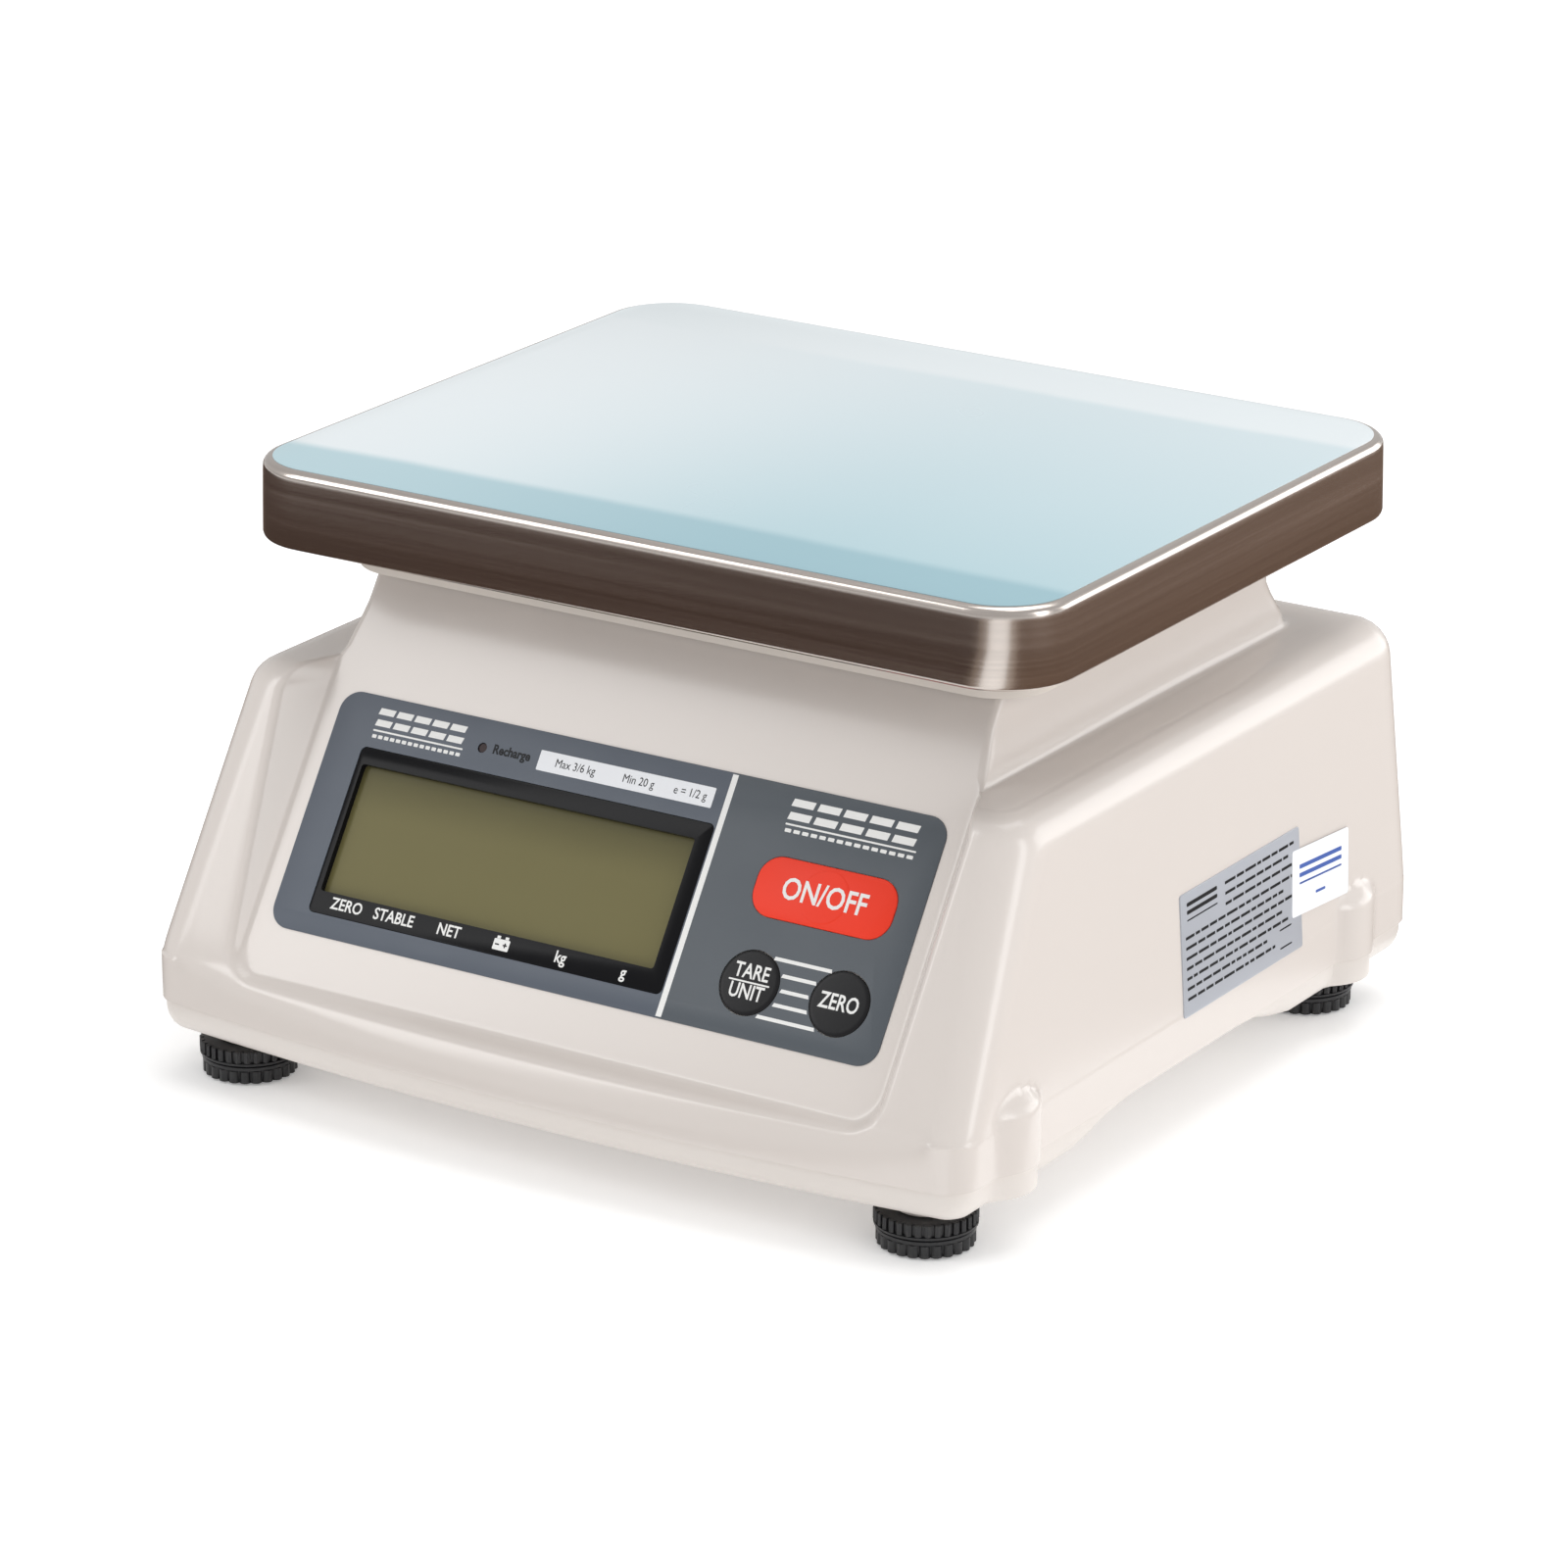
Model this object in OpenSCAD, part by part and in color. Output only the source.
// Portable bench weighing scale: stainless pan on a plastic carrier, a single point load
// cell on a steel stand, a two-part plastic housing, a sloping keypad panel and screw feet.
// Origin: on the floor under the middle of the housing. +Z up, the panel faces -Y.
// Panel features are placed with (x, s, n): x across, s up the slope, n out of the panel.

/* [Housing] */
// Width of the housing at the seam
body_w = 237; // [231:1:243]
// Depth of the housing at the seam
body_d = 233; // [229:1:237]
// Height of the seam between the two covers
seam_z = 20.5; // [19.5:0.5:21.5]
// Height of the shoulders beside the neck
shoulder_z = 101.5; // [100:0.5:103]
// Wall thickness of both covers
wall = 2.5; // [2:0.25:3]
// Radius of the upper edges of the shoulders
edge_r = 10; // [8:1:11]
// Height of the flat floor of the lower cover above the table
floor_z = 12; // [11.5:0.5:12.5]

/* [Neck] */
// Width of the neck
neck_w = 186.4; // [184:0.4:188]
// Height of the top of the neck
neck_z = 127; // [126:0.5:128]

/* [Panel] */
// Lean of the panel back from the vertical, in degrees
panel_tilt = 33.7; // [32:0.1:35]
// Width of the keypad sheet
sheet_w = 176.4; // [174:0.4:178]
// Height of the keypad sheet up the slope
sheet_h = 62.2; // [61:0.2:63]
// Thickness of the keypad sheet
sheet_t = 0.4; // [0.3:0.1:0.6]
// Travel of a key
key_travel = 0.3; // [0.2:0.05:0.3]
// Diameter of a round key
round_key_d = 16; // [15:0.5:16.5]

/* [Pan] */
// Width of the pan
pan_w = 230; // [226:1:232]
// Depth of the pan
pan_d = 187; // [184:1:189]
// Height of the pan's top face above the table
pan_z = 152; // [151:0.5:153]
// Height of the pan's turned-down skirt
skirt_h = 20; // [18:0.5:21]
// Sheet thickness of the pan
pan_t = 1; // [0.8:0.1:1.2]
// Corner radius of the pan seen from above
pan_r = 19; // [16:1:22]

/* [Feet] */
// Diameter of a foot
foot_d = 24; // [22:0.5:25]
// Height of a foot's disc
foot_h = 5; // [4.5:0.25:5.5]
// Half the distance between the feet across the housing
foot_x = 99.4; // [98:0.2:100]
// Half the distance between the feet along the housing
foot_y = 93.3; // [92:0.1:94]

/* [Hidden] */
$fn = 64;
gap = 0.3;                       // clearance where one piece sits in another
half_w = body_w / 2;
half_d = body_d / 2;
bow = 7;                         // how far the front bows out at its middle
corner_r = 9;                    // plan radius of the housing's corners
band_z = 32;                     // where the upright front band turns into the slope
wing_lean = 26.5;                // lean of the shoulder fronts from the vertical
side_draft = 4.2;                // how far each side leans in up to the shoulder
side_tilt = 3.9;                 // the same lean as an angle
ball_z = shoulder_z - edge_r;
front_y = -half_d + bow;         // front face at the corners
top_x = half_w - side_draft - edge_r;
top_back_y = half_d - 1.2 - edge_r;
top_front_y = front_y + (ball_z - band_z) * tan(wing_lean) + edge_r / cos(wing_lean);
panel_y = -99.4;                 // lower edge of the keypad sheet
panel_z = 43;
recess_s = -13.5;                // lower end of the recessed panel
neck_back_y = 87.3;
neck_r = 8;
bump_x = 110;                    // bulges on the sides beside the feet
bump_y = 83;
bump_r = 12.5;
bump_z = 40;
grip_h = 6.5;                    // finger grip under each side
grip_l = 112;
floor_t = 2.5;
boss_low_z = 9.2;                // underside of the bosses over the feet
pan_y = 18.3;                    // middle of the pan and of the load cell
pan_x_in = pan_w / 2 - pan_t - 0.6;
pan_y_in = pan_d / 2 - pan_t - 0.6;
carrier_w = 198;
carrier_d = 145;
carrier_y = 19.5;
carrier_z = 121.7;               // lower edge of the carrier's skirt
carrier_top = 147;
pad_pos = [84, 58];
cell_size = [130, 30, 22];
cell_z = 96;
end_x = 46;                      // middle of each end of the load cell
bolt_x = [37, 55];               // bolts through each end of the load cell
plate_z = 16.5;                  // top of the base plate
stand_size = [52, 56, 77.5];
spacer_z = 130;                  // top of the spacer under the carrier
window_size = [104.4, 43.2];
window_at = [-25.8, 27.2];
glass_size = [102, 38];
glass_at = [-27.1, 27.9];
view_size = [98.6, 33.4];        // part of the glass that the mask leaves open
tare_at = [49, 13.4];
zero_at = [74.2, 13.4];
on_off_at = [61.6, 37.3];
on_off_size = [38.9, 15.1];
on_off_r = 6;
led_at = [-44.1, 54.9];
cap_n = key_travel + 0.05 - sheet_t;   // underside of a key cap, free by 0.05 when pressed
cap_t = 0.45;
switch_n = -3;                   // top of each switch's dome
keypad_board_at = [58.2, 29];
keypad_board_n = -4.6;
keypad_screws = [19.4, 24];
board_n = -14;
board_x = 83.5;
board_s = [8, 52];
stud_r = 4;
bore_r = 4.05;                   // running clearance around a stud
insert_r = 6;
case_screws = [[-106, -66], [106, -66], [-106, 62], [106, 62], [-40, 105], [40, 105]];
screw_r = 1.5;
battery_size = [101, 70, 47];
battery_at = [33.5, 59];
battery_z = 14.7;
inlet_at = [-70, 46];

module block(size) translate([-size[0] / 2, -size[1] / 2, 0]) cube(size);

// Rectangle with true round corners
module rounded_rect(w, d, r) {
    square([w - 2 * r, d], center = true);
    square([w, d - 2 * r], center = true);
    for (x = [-1, 1], y = [-1, 1])
        translate([x * (w / 2 - r), y * (d / 2 - r)]) circle(r);
}

module rounded_plate(w, d, r, t) linear_extrude(t) rounded_rect(w, d, r);

module on_panel(at, n) translate([0, panel_y, panel_z]) rotate([90 - panel_tilt, 0, 0])
    translate([at[0], at[1], n]) children();

module at_corners(x, y) for (i = [-1, 1], j = [-1, 1]) translate([i * x, j * y, 0]) children();

// A cap screw standing on its head
module screw(head_r, head_h, shank_r, length) {
    difference() {
        cylinder(r = head_r, h = head_h);
        translate([0, 0, -1]) cylinder(r = head_r * 0.5, h = 1 + head_h * 0.6, $fn = 6);
    }
    translate([0, 0, head_h]) cylinder(r = shank_r, h = length);
}

// A soft lead of radius r through the points p: a tube of eight sides. The vector up is
// nowhere along the lead, and turns its rings the same way.
function along(p, i) = p[min(i + 1, len(p) - 1)] - p[max(i - 1, 0)];
function unit(v) = v / norm(v);
function ring(c, t, up, r) = let (u = unit(cross(t, up)), v = unit(cross(t, u)))
    [for (k = [0:7]) c + r * (cos(45 * k) * u + sin(45 * k) * v)];
module lead(p, up, r) {
    m = len(p);
    pts = [for (i = [0:m - 1]) each ring(p[i], along(p, i), up, r)];
    sides = [for (i = [0:m - 2], k = [0:7]) let (a = 8 * i + k, b = 8 * i + (k + 1) % 8)
        each [[a, b, b + 8], [a, b + 8, a + 8]]];
    ends = [[for (k = [0:7]) 7 - k], [for (k = [0:7]) 8 * (m - 1) + k]];
    polyhedron(pts, concat(sides, ends));
}

// Plan outline of the housing with a bowed front, inset by g
module base_outline(g, front_bow) {
    n = 16;
    x1 = half_w - corner_r;
    polygon(concat([for (i = [0:n]) let (u = 2 * i / n - 1)
        [u * (x1 - g), front_y + g - front_bow * (1 - u * u)]],
        [[x1 - g, half_d - g], [g - x1, half_d - g]]));
    at_corner_circles(x1, corner_r - g);
}

module at_corner_circles(x1, r) for (x = [-1, 1], y = [front_y + corner_r, half_d - corner_r])
    translate([x * x1, y]) circle(r, $fn = 32);

// Housing above the seam without neck or recess, inset by g
module body_block(g, low) hull() {
    translate([0, 0, low]) linear_extrude(0.1) base_outline(g, bow);
    translate([0, 0, (seam_z + band_z) / 2]) linear_extrude(0.1) base_outline(g, bow * 0.6);
    translate([0, 0, band_z - g / 2]) linear_extrude(0.1) base_outline(g + 0.2, 0);
    for (x = [-1, 1], y = [top_front_y, top_back_y])
        translate([x * top_x, y, ball_z]) sphere(edge_r - g, $fn = 32);
}

// Neck between two heights, inset by g: its front continues the panel's plane
module neck_block(g, low, high) hull() {
    neck_slice(g, low, neck_back_y + 6);
    neck_slice(g, 116, neck_back_y);
    neck_slice(g, high - 0.1, neck_back_y - 1);
}

module neck_slice(g, z, back_y) {
    front = panel_y + (z - panel_z) * tan(panel_tilt) + g / cos(panel_tilt);
    for (side = [-1, 1]) translate([side * (neck_w / 2 - g), 0, z]) {
        translate([-side * 2, front + 2, 0]) cylinder(r = 2, h = 0.1, $fn = 24);
        translate([-side * neck_r, back_y - g - neck_r, 0])
            cylinder(r = neck_r, h = 0.1, $fn = 32);
    }
}

// Space in front of the panel's plane, with slanted sides, moved in by g
module recess_cut(g) {
    half = neck_w / 2 + g;
    on_panel([0, recess_s - g], -g) rotate([90, 0, 0]) translate([0, 0, -150])
        linear_extrude(150) polygon([[-half, 0], [half, 0], [half + 14, 24], [-half - 14, 24]]);
}

module side_bumps(r, low, high) at_corners(bump_x, bump_y) rotate_extrude()
    polygon(concat([[0, low], [r, low]],
        [for (i = [0:6]) [r * cos(15 * i), high - 6 + 6 * sin(15 * i)]]));

module upper_cover() color("#e8e2dc") difference() {
    union() {
        difference() {
            union() {
                difference() {
                    union() {
                        body_block(0, seam_z);
                        side_bumps(bump_r, seam_z, bump_z);
                    }
                    recess_cut(0);
                }
                neck_block(0, shoulder_z - 1, neck_z);
            }
            difference() {
                body_block(wall, seam_z - 1);
                recess_cut(wall);
            }
            neck_block(wall, shoulder_z - 5, neck_z - wall);
        }
        upper_bosses();
        for (x = [-board_x, board_x], s = board_s)
            on_panel([x, s], board_n) cylinder(r = 3, h = -board_n - wall + 0.2);
        on_panel(keypad_board_at, keypad_board_n) at_corners(keypad_screws[0], keypad_screws[1])
            cylinder(r = 2.5, h = 2.3);
    }
    translate([end_x, pan_y, neck_z - 6]) rounded_plate(54, 46, 8, 10);
    for (p = case_screws) translate([p[0], p[1], seam_z - 1])
        cylinder(r = screw_r + 0.05, h = 20);
    for (x = [-board_x, board_x], s = board_s)
        on_panel([x, s], board_n - 1) cylinder(r = 1.2, h = 9);
    on_panel(keypad_board_at, keypad_board_n - 1) at_corners(keypad_screws[0], keypad_screws[1])
        cylinder(r = 1.15, h = 4);
    on_panel([0, sheet_h / 2], -sheet_t) rounded_plate(sheet_w + gap, sheet_h + gap, 5.7, 2);
    on_panel(window_at, -6) rounded_plate(window_size[0] + gap, window_size[1] + gap, 1.6, 8);
    on_panel(tare_at, -6) cylinder(r = 6.5, h = 8);
    on_panel(zero_at, -6) cylinder(r = 6.5, h = 8);
    on_panel(on_off_at, -6) rounded_plate(32, 10, 4, 8);
    on_panel(led_at, -6) cylinder(r = 1.7, h = 8);
    translate([inlet_at[0], half_d, inlet_at[1]]) rotate([90, 0, 0]) {
        translate([0, 0, -1]) cylinder(r = 7.2, h = 2.4);
        cylinder(r = 5.6, h = 8);
    }
}

// Screw bosses hanging on ribs inside the walls
module upper_bosses() intersection() {
    body_block(1, seam_z);
    union() for (p = case_screws) translate([p[0], p[1], seam_z]) {
        cylinder(r = 4.5, h = 24);
        on_side = abs(p[0]) > 90;
        translate([0, on_side ? 0 : 8, 0]) block(on_side ? [30, 2, 24] : [2, 20, 24]);
    }
}

// Lower tray: floor, rim, finger grips, foot bosses and the battery opening
module lower_cover() color("#ded8d1") difference() {
    union() {
        difference() {
            tray_block(0.8, 3, floor_z, seam_z - 0.2);
            difference() {
                tray_block(0.8 + wall, 3 + wall, floor_z + floor_t, seam_z + 1);
                for (x = [-1, 1]) translate([x * (half_w - 8), 0, floor_z])
                    block([22, grip_l + 8, 12]);
            }
        }
        at_corners(bump_x, bump_y) translate([0, 0, floor_z + 0.6])
            cylinder(r = bump_r - 0.8, h = seam_z - 0.2 - floor_z - 0.6);
        at_corners(foot_x, foot_y) translate([0, 0, boss_low_z]) cylinder(r = 7.5, h = 17);
        for (p = case_screws) translate([p[0], p[1], floor_z]) cylinder(r = 4.5, h = 8.3);
        translate([battery_at[0], 16, floor_z]) cylinder(r = 4, h = 9);
    }
    at_corners(foot_x, foot_y) translate([0, 0, boss_low_z - 1]) cylinder(r = insert_r, h = 30);
    for (p = case_screws) translate([p[0], p[1], 0]) {
        cylinder(r = 1.8, h = 40);
        translate([0, 0, floor_z - 4]) cylinder(r = 3.4, h = 7);
    }
    for (x = [-1, 1]) grip_cut(x);
    at_plate_screws() translate([0, 0, floor_z + 0.9]) cylinder(r = 1.75, h = 5);
    translate([battery_at[0], battery_at[1], 0]) rounded_plate(107, 76, 3, 30);
    translate([battery_at[0], 16, 0]) {
        cylinder(r = 7.3, h = floor_z + 1.4);
        cylinder(r = screw_r, h = 19);
    }
    translate([battery_at[0] - 7.3, 15, 0]) cube([14.6, 10, floor_z + 1.4]);
}

module tray_block(g_top, g_low, low, high) hull() {
    translate([0, 0, low]) linear_extrude(0.1) base_outline(g_low, bow * 0.8);
    translate([0, 0, low + 2.5]) linear_extrude(0.1) base_outline(g_top + 0.5, bow * 0.9);
    translate([0, 0, high - 0.1]) linear_extrude(0.1) base_outline(g_top, bow);
}

module grip_cut(side) translate([side * (half_w + 3), 0, floor_z - 2]) rotate([90, 0, -90 * side])
    linear_extrude(16) polygon([[-grip_l / 2, -1], [grip_l / 2, -1], [grip_l / 4, grip_h + 2],
        [-grip_l / 4, grip_h + 2]]);

module housing_screws() color("#b9bcc0") for (p = case_screws)
    translate([p[0], p[1], floor_z + 0.8]) screw(3.1, 2.2, screw_r, 20);

module base_plate() color("#aeb2b6") difference() {
    translate([0, 0, plate_z - 2]) rounded_plate(170, 186, 6, 2);
    translate([battery_at[0], battery_at[1], 0]) rounded_plate(108, 77, 3, 30);
    translate([battery_at[0], 16, 0]) cylinder(r = 7.5, h = 30);
    translate([battery_at[0] - 7.5, 15, 0]) cube([15, 10, 30]);
    at_plate_screws() cylinder(r = 1.8, h = 30);
    at_stand_screws() cylinder(r = 2, h = 30);
}

module at_plate_screws() for (p = [[-78, -84], [78, -84], [-78, 84], [-28, 88]])
    translate([p[0], p[1], 0]) children();

module at_stand_screws() for (x = [-18, 18], y = [-37, 37])
    translate([x - end_x, pan_y + y, 0]) children();

module base_plate_screws() color("#b9bcc0") at_plate_screws()
    translate([0, 0, plate_z + 2]) rotate([180, 0, 0]) screw(3, 2, 1.7, 3.4);

module foot_inserts() color("#c2a253") at_corners(foot_x, foot_y)
    translate([0, 0, boss_low_z + 0.1]) difference() {
        cylinder(r = insert_r, h = 16);
        translate([0, 0, -1]) cylinder(r = bore_r, h = 30);
    }

module lock_rings() color("#202022") at_corners(foot_x, foot_y)
    translate([0, 0, foot_h + 0.3]) difference() {
        cylinder(r = foot_d / 2 + 0.75, h = boss_low_z - foot_h - 0.4);
        translate([0, 0, -1]) cylinder(r = bore_r, h = 30);
    }

module foot_stud() color("#b4b7bb") cylinder(r = stud_r, h = 20.5);

module foot(x, y) color("#1c1c1e") translate([x, y, 0]) difference() {
    cylinder(r = foot_d / 2, h = foot_h);
    translate([0, 0, foot_h - 2]) cylinder(r = bore_r, h = 3);
}

module stud(x, y) translate([x, y, foot_h - 1.9]) foot_stud();
module foot_stud_fl() stud(-foot_x, -foot_y);
module foot_stud_fr() stud(foot_x, -foot_y);
module foot_stud_bl() stud(-foot_x, foot_y);
module foot_stud_br() stud(foot_x, foot_y);
module foot_fl() foot(-foot_x, -foot_y);
module foot_fr() foot(foot_x, -foot_y);
module foot_bl() foot(-foot_x, foot_y);
module foot_br() foot(foot_x, foot_y);

// Folded steel stand: flanges on the base plate, two walls and a drilled top
module load_cell_stand() color("#9fa3a8") translate([-end_x, pan_y, plate_z]) difference() {
    union() {
        block([stand_size[0], 92, 3]);
        block(stand_size);
        translate([0, 0, stand_size[2]]) block([38, cell_size[1], 2]);
    }
    translate([0, 0, -1]) block([stand_size[0] + 2, stand_size[1] - 6, stand_size[2] - 2]);
    for (x = bolt_x) translate([end_x - x, 0, 0]) cylinder(r = 3.1, h = 100);
    for (x = [-18, 18], y = [-37, 37]) translate([x, y, -1]) cylinder(r = 2.1, h = 6);
}

module stand_screws() color("#b9bcc0") at_stand_screws()
    translate([0, 0, plate_z + 6]) rotate([180, 0, 0]) screw(3.5, 3, 1.9, 5);

// Aluminium bar with the usual pair of joined bores that lets it bend
module load_cell() color("#c8cbcf") translate([0, pan_y, cell_z]) difference() {
    block(cell_size);
    for (x = [-11, 11]) translate([x, 0, cell_size[2] / 2]) rotate([90, 0, 0])
        cylinder(r = 8, h = 60, center = true);
    translate([0, 0, cell_size[2] / 2 - 2]) block([22, 60, 4]);
    for (x = bolt_x) {
        translate([-x, 0, -1]) cylinder(r = 3, h = 15);
        translate([x, 0, cell_size[2] - 14]) cylinder(r = 3, h = 15);
    }
}

module load_cell_gauge_cover() color("#f2f0e6") for (z = [cell_z - 1.2, cell_z + cell_size[2]])
    translate([0, pan_y, z]) rounded_plate(44, 24, 4, 1.2);

module load_cell_bolts() color("#6c6f74") {
    for (x = bolt_x) {
        translate([-x, pan_y, cell_z - 11]) screw(5, 6, 2.95, 18);
        translate([x, pan_y, cell_z + cell_size[2] + 12]) rotate([180, 0, 0])
            screw(5, 6, 2.95, 18);
    }
}

// Screw under the live end that stops an overload, standing on the base plate
module overload_stop() color("#b4b7bb") translate([end_x + 8, pan_y - 10, plate_z]) {
    cylinder(r = 6, h = 4, $fn = 6);
    cylinder(r = 4, h = cell_z - plate_z - 0.6);
}

module load_cell_lead() color("#d8d8d6") lead([[-65, 18.3, 107], [-71, 18.3, 106.5],
    [-77, 17, 103], [-80, 12, 97], [-81, 4, 88], [-80, -8, 78], [-76, -22, 70], [-70, -36, 63],
    [-64, -48, 59], [-60, -57, 57.5], [-58.5, -62.5, 57.2]], [0, 1, -1], 2);

module carrier_spacer() color("#c8cbcf") translate([end_x, pan_y, cell_z + cell_size[2]])
    difference() {
        block([38, 30, spacer_z - cell_z - cell_size[2]]);
        for (x = bolt_x) translate([x - end_x, 0, 0]) {
            translate([0, 0, -1]) cylinder(r = 3.1, h = 30);
            translate([0, 0, 6]) cylinder(r = 5.2, h = 30);
        }
        at_corners(15, 10) cylinder(r = 1.9, h = 30);
    }

// Plastic carrier: top plate, skirt over the neck, hub and arms that centre the pan
module platter_carrier() color("#ddd5ca") difference() {
    union() {
        translate([0, carrier_y, carrier_z]) difference() {
            rounded_plate(carrier_w, carrier_d, 14, carrier_top - carrier_z);
            translate([0, 0, -3]) rounded_plate(carrier_w - 5, carrier_d - 5, 11.5,
                carrier_top - carrier_z);
        }
        translate([end_x, pan_y, spacer_z]) rounded_plate(50, 42, 6, 15);
        for (y = [-42, 42]) translate([0, pan_y + y, 135]) block([2 * pan_x_in, 6, 10]);
        for (x = [-62, 62]) translate([x, pan_y, 135]) block([6, 2 * pan_y_in, 10]);
        translate([0, pan_y, 135]) at_corners(pad_pos[0], pad_pos[1]) cylinder(r = 10, h = 10);
    }
    translate([end_x, pan_y, spacer_z - 1]) at_corners(15, 10) {
        cylinder(r = 2.1, h = 30);
        translate([0, 0, 12]) cylinder(r = 4.2, h = 30);
    }
    translate([end_x, pan_y, spacer_z - 1]) for (x = bolt_x) translate([x - end_x, 0, 0])
        cylinder(r = 5.5, h = 4);
    translate([0, pan_y, carrier_top - 1]) at_corners(pad_pos[0], pad_pos[1])
        cylinder(r = 8.05, h = 5);
}

module carrier_screws() color("#b9bcc0") translate([end_x, pan_y, spacer_z + 14])
    at_corners(15, 10) rotate([180, 0, 0]) screw(3.8, 3, 1.85, 18);

module carrier_pads() color("#2a2a2c") translate([0, pan_y, carrier_top - 1])
    at_corners(pad_pos[0], pad_pos[1]) cylinder(r = 8, h = pan_z - pan_t - carrier_top + 1);

module platter() color("#b9b2aa") translate([0, pan_y, pan_z - skirt_h]) difference() {
    rounded_plate(pan_w, pan_d, pan_r, skirt_h);
    translate([0, 0, -1]) rounded_plate(pan_w - 2 * pan_t, pan_d - 2 * pan_t, pan_r - pan_t,
        skirt_h + 1 - pan_t);
}

module protective_film() color("#bfe0e8") translate([0, pan_y, pan_z])
    rounded_plate(pan_w - 4.2, pan_d - 4.2, pan_r - 2, 0.15);

module keypad_sheet() color("#585d66") on_panel([0, 0], -sheet_t) difference() {
    translate([0, sheet_h / 2, 0]) rounded_plate(sheet_w, sheet_h, 5.5, sheet_t);
    translate([window_at[0], window_at[1], -1])
        rounded_plate(window_size[0] + gap, window_size[1] + gap, 1.6, 3);
    for (at = [tare_at, zero_at]) translate([at[0], at[1], -1])
        cylinder(r = round_key_d / 2 + 0.15, h = 3);
    translate([on_off_at[0], on_off_at[1], -1])
        rounded_plate(on_off_size[0] + gap, on_off_size[1] + gap, on_off_r + 0.15, 3);
    translate([led_at[0], led_at[1], -1]) cylinder(r = 1.2, h = 3);
}

module display_window() color("#dfe6e4", 0.4) on_panel(window_at, -1.6)
    rounded_plate(window_size[0], window_size[1], 1.5, 1.6);

module window_mask() color("#1d1d1f") on_panel(window_at, -1.8) difference() {
    rounded_plate(window_size[0], window_size[1], 1.5, 0.18);
    translate([glass_at[0] - window_at[0], glass_at[1] - window_at[1], -1])
        rounded_plate(view_size[0], view_size[1], 1, 3);
}

module lcd_frame() color("#26272a") on_panel(window_at, -10.5) difference() {
    rounded_plate(108.5, 48, 2, 8);
    translate([glass_at[0] - window_at[0], glass_at[1] - window_at[1], 1.5])
        rounded_plate(glass_size[0] + gap, glass_size[1] + gap, 1, 10);
}

module lcd_glass() color("#75704a") on_panel(glass_at, -4.6)
    rounded_plate(glass_size[0], glass_size[1], 0.6, 2);

module lcd_backlight() color("#e9e9df") on_panel(glass_at, -8.9)
    rounded_plate(glass_size[0] - 1, glass_size[1] - 1, 0.6, 4.2);

module keypad_board() color("#2f6b46") on_panel(keypad_board_at, keypad_board_n - 1.4)
    difference() {
        rounded_plate(44, 54, 1, 1.4);
        at_corners(keypad_screws[0], keypad_screws[1]) translate([0, 0, -1])
            cylinder(r = 1.3, h = 4);
    }

module key_switches() color("#3a3c40") for (at = [tare_at, zero_at, on_off_at])
    on_panel(at, keypad_board_n) {
        block([6, 6, 0.9]);
        cylinder(r = 1.7, h = switch_n - keypad_board_n);
    }

// A key is a cap in the sheet's opening, a body in the cover's and a stem over its switch
module key_stem() {
    stem_n = switch_n + key_travel + 0.05;
    translate([0, 0, stem_n]) cylinder(r = 2, h = cap_n - stem_n);
}

module round_key(at) on_panel(at, 0) {
    translate([0, 0, cap_n]) cylinder(r = round_key_d / 2, h = cap_t);
    translate([0, 0, -1.6]) cylinder(r = 5.5, h = 1.6 + cap_n);
    key_stem();
}

module key_tare() color("#202022") round_key(tare_at);
module key_zero() color("#202022") round_key(zero_at);
module key_on_off() color("#ff4b35") on_panel(on_off_at, 0) {
    translate([0, 0, cap_n]) rounded_plate(on_off_size[0], on_off_size[1], on_off_r, cap_t);
    translate([0, 0, -1.6]) rounded_plate(30, 8, 3, 1.6 + cap_n);
    key_stem();
}

module charge_led() color("#50161a") on_panel(led_at, -5) {
    cylinder(r = 1.5, h = 4.5);
    cylinder(r = 1.1, h = 4.9);
}

module capacity_strip() color("#f6f6f2") on_panel([-1.8, 55], 0)
    rounded_plate(51, 5.1, 0.4, 0.12);

module main_board() color("#2f6b46") on_panel([0, 30], board_n - 1.6) difference() {
    rounded_plate(173, 54, 1, 1.6);
    for (x = [-board_x, board_x], s = board_s) translate([x, s - 30, -1])
        cylinder(r = 1.5, h = 4);
}

module main_board_parts() color("#303236") on_panel([0, 30], board_n - 1.6) {
    for (p = [[-36, 8, 14, 14, 2], [-20, -8, 10, 18, 2.2], [16, -2, 8, 8, 1.6],
        [40, -10, 16, 10, 6], [62, 12, 10, 14, 8], [-60, -14, 12, 6, 7], [4, -18, 18, 5, 6],
        [-58.5, 2, 12, 8, 5.9], [4, 7, 14, 8, 7]])
        translate([p[0], p[1], -p[4]]) block([p[2], p[3], p[4]]);
    for (x = [24, 34]) translate([x, 14, -11]) cylinder(r = 4, h = 11);
}

module board_screws() color("#b9bcc0") {
    for (x = [-board_x, board_x], s = board_s)
        on_panel([x, s], board_n - 3.4) screw(2.4, 1.8, 1.15, 8);
    on_panel(keypad_board_at, keypad_board_n - 2.8)
        at_corners(keypad_screws[0], keypad_screws[1]) screw(2.1, 1.4, 1.1, 3);
}

module battery() color("#3b3f46") translate([battery_at[0], battery_at[1], battery_z]) {
    rounded_plate(battery_size[0], battery_size[1], 2, battery_size[2]);
    translate([0, 0, battery_size[2] - 3]) rounded_plate(90, 60, 2, 4.5);
}

module battery_terminals() color("#c2a253") for (y = [-22, 22])
    translate([battery_at[0] - 38, battery_at[1] + y, battery_z + battery_size[2] + 1.5])
        block([6, 0.8, 6]);

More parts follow.
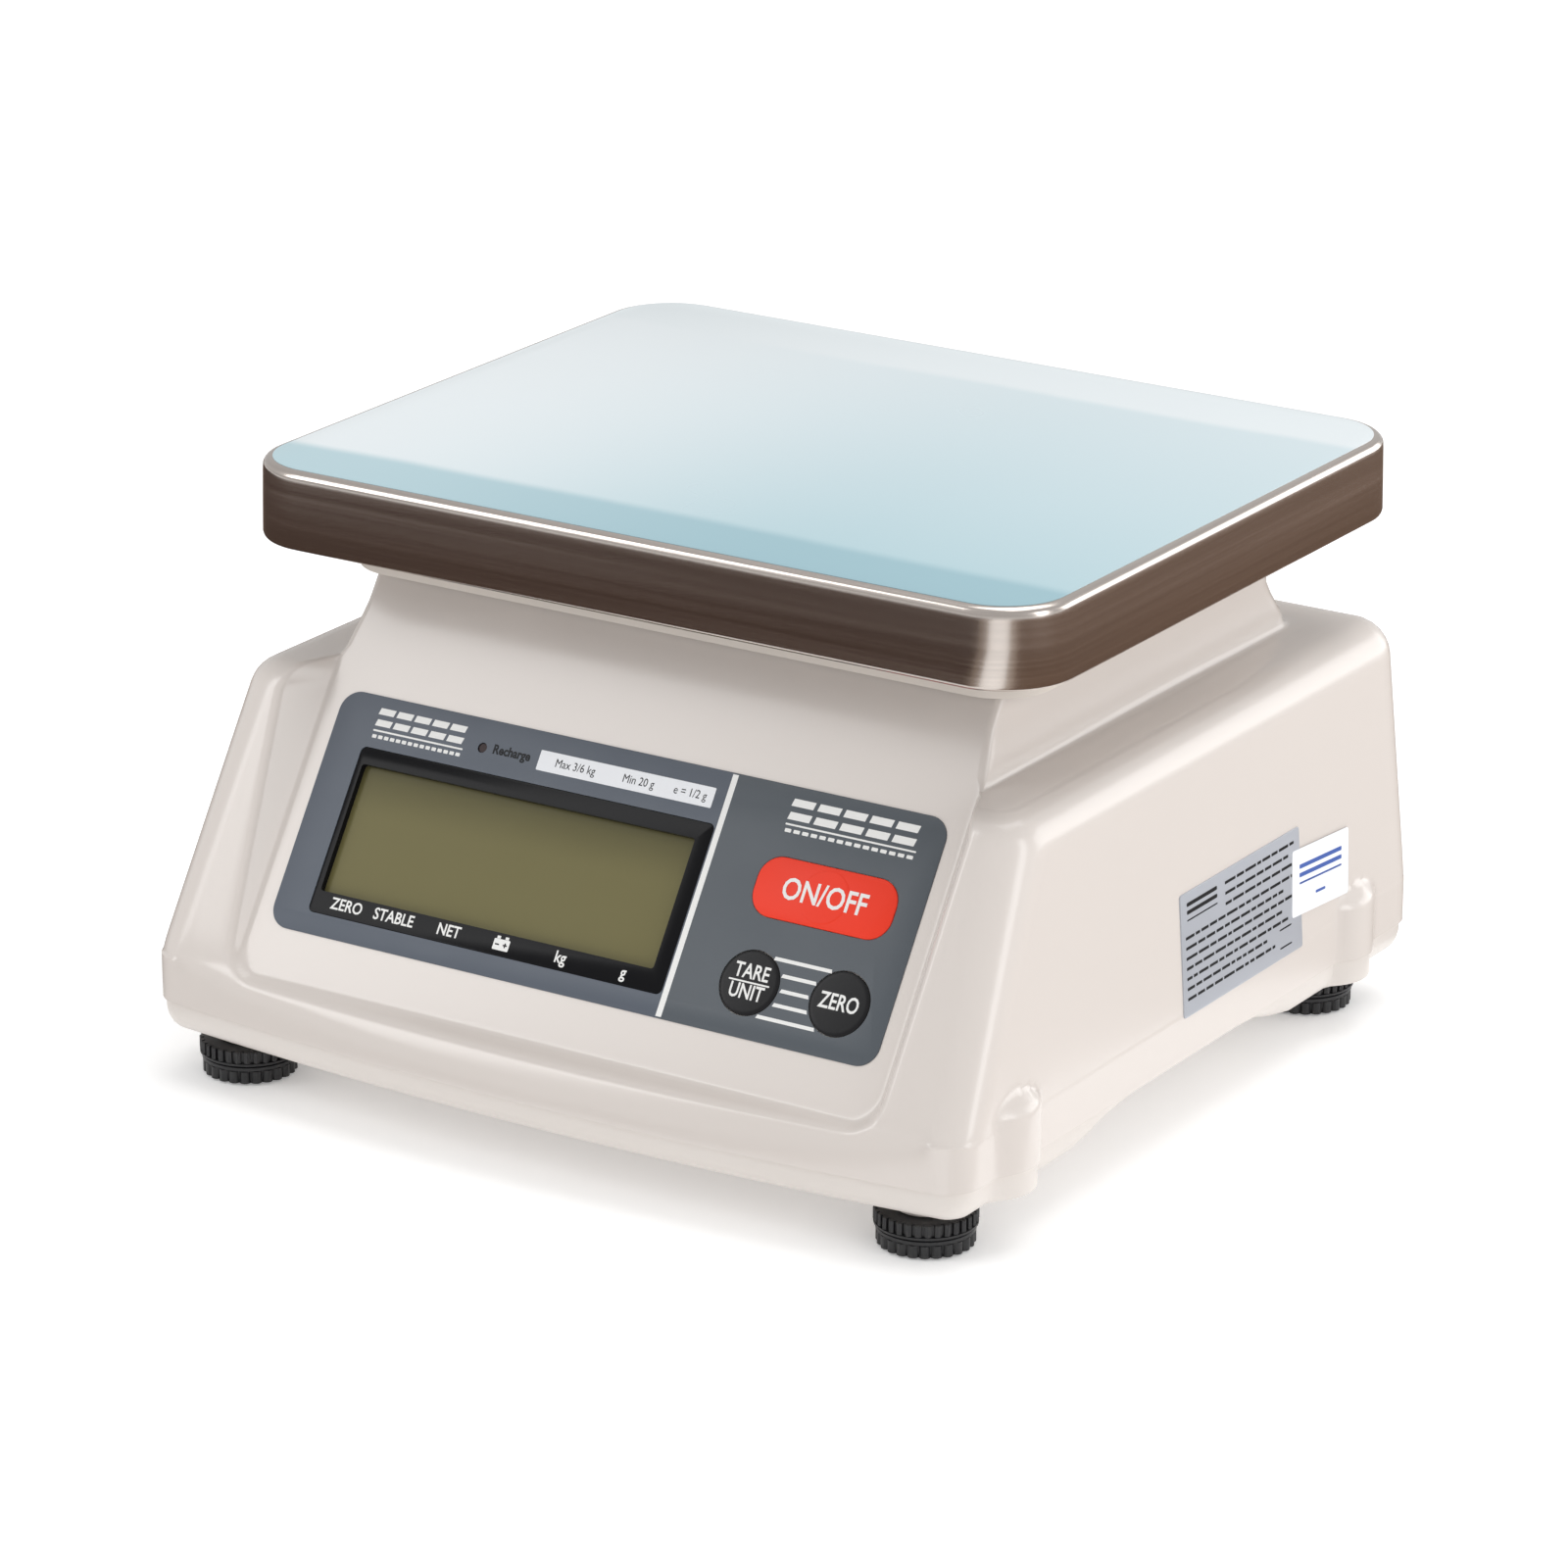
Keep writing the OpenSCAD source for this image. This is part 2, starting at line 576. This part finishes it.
// The two leads run side by side, a little apart across the housing
module battery_leads() color("#a8322b") for (side = [-1, 1])
    let (x = -2.6 * side, y = 22 * side)
        lead([[-4.5, 59 + y, 69.5], [-4.5, 59 + y, 73], [-5 + x * 0.4, 56 + y * 0.9, 76],
            [-6 + x, 49 + y * 0.7, 78.5], [-6 + x, 36 + y * 0.5, 80], [-4 + x, 18 + y * 0.35, 80],
            [x, y * 0.25, 77], [2 + x, -18 + y * 0.2, 72], [3 + x, -34 + y * 0.1, 64.5],
            [4 + x, -44, 59], [4 + x, -51, 57], [4 + x, -56, 58.4], [4 + x, -60, 61.1]],
            [1, 0, 0], 1.2);

module battery_cover() color("#d5cfc8") difference() {
    union() {
        translate([battery_at[0], battery_at[1], floor_z]) rounded_plate(106.4, 75.4, 2.7, 2.5);
        translate([battery_at[0], 16, floor_z]) cylinder(r = 7, h = 1.3);
        translate([battery_at[0] - 7, 16, floor_z]) cube([14, 8, 1.3]);
    }
    translate([battery_at[0], 16, 0]) cylinder(r = 1.7, h = 20);
    for (i = [0:5]) translate([battery_at[0], battery_at[1] + 18 + 3 * i, floor_z - 1])
        block([40, 1.2, 1.6]);
}

module battery_cover_screw() color("#b9bcc0") translate([battery_at[0], 16, floor_z - 1.9])
    screw(3, 1.9, 1.45, 7);

module dc_inlet() color("#2a2a2c") translate([inlet_at[0], half_d - 0.4, inlet_at[1]])
    rotate([90, 0, 0]) difference() {
        union() {
            cylinder(r = 7, h = 0.9);
            cylinder(r = 5.5, h = 14);
        }
        translate([0, 0, -1]) cylinder(r = 2.8, h = 11);
    }

module dc_inlet_nut() color("#b9bcc0") translate([inlet_at[0], half_d - 3.4, inlet_at[1]])
    rotate([90, 0, 0]) difference() {
        cylinder(r = 8, h = 2.4, $fn = 6);
        translate([0, 0, -1]) cylinder(r = 5.55, h = 5);
    }

// A label on the right-hand wall, turned by roll degrees on it
module side_label(y, z, w, h, t, lift, roll) {
    x = half_w - 0.2 - (z - band_z) * tan(side_tilt);
    translate([x, y, z]) rotate([0, -side_tilt, 0]) rotate([roll, 0, 0]) rotate([90, 0, 90])
        translate([0, 0, lift]) rounded_plate(w, h, 0.8, t);
}

module rating_plate() color("#b9bcc4") side_label(24.8, 47, 60, 31.5, 0.4, 0.08, 0);
module seal_sticker() color("#f4f5f7") side_label(64.9, 47.6, 29.4, 17.2, 0.12, 0.51, -4);

lower_cover();
upper_cover();
housing_screws();
base_plate();
base_plate_screws();
foot_inserts();
lock_rings();
load_cell_stand();
stand_screws();
load_cell();
load_cell_bolts();
load_cell_gauge_cover();
overload_stop();
load_cell_lead();
carrier_spacer();
platter_carrier();
carrier_screws();
carrier_pads();
platter();
protective_film();
keypad_sheet();
display_window();
window_mask();
lcd_frame();
lcd_glass();
lcd_backlight();
keypad_board();
key_switches();
key_on_off();
key_tare();
key_zero();
charge_led();
capacity_strip();
main_board();
main_board_parts();
board_screws();
battery();
battery_terminals();
battery_leads();
battery_cover();
battery_cover_screw();
dc_inlet();
dc_inlet_nut();
rating_plate();
seal_sticker();
foot_stud_fl();
foot_stud_fr();
foot_stud_bl();
foot_stud_br();
foot_fl();
foot_fr();
foot_bl();
foot_br();
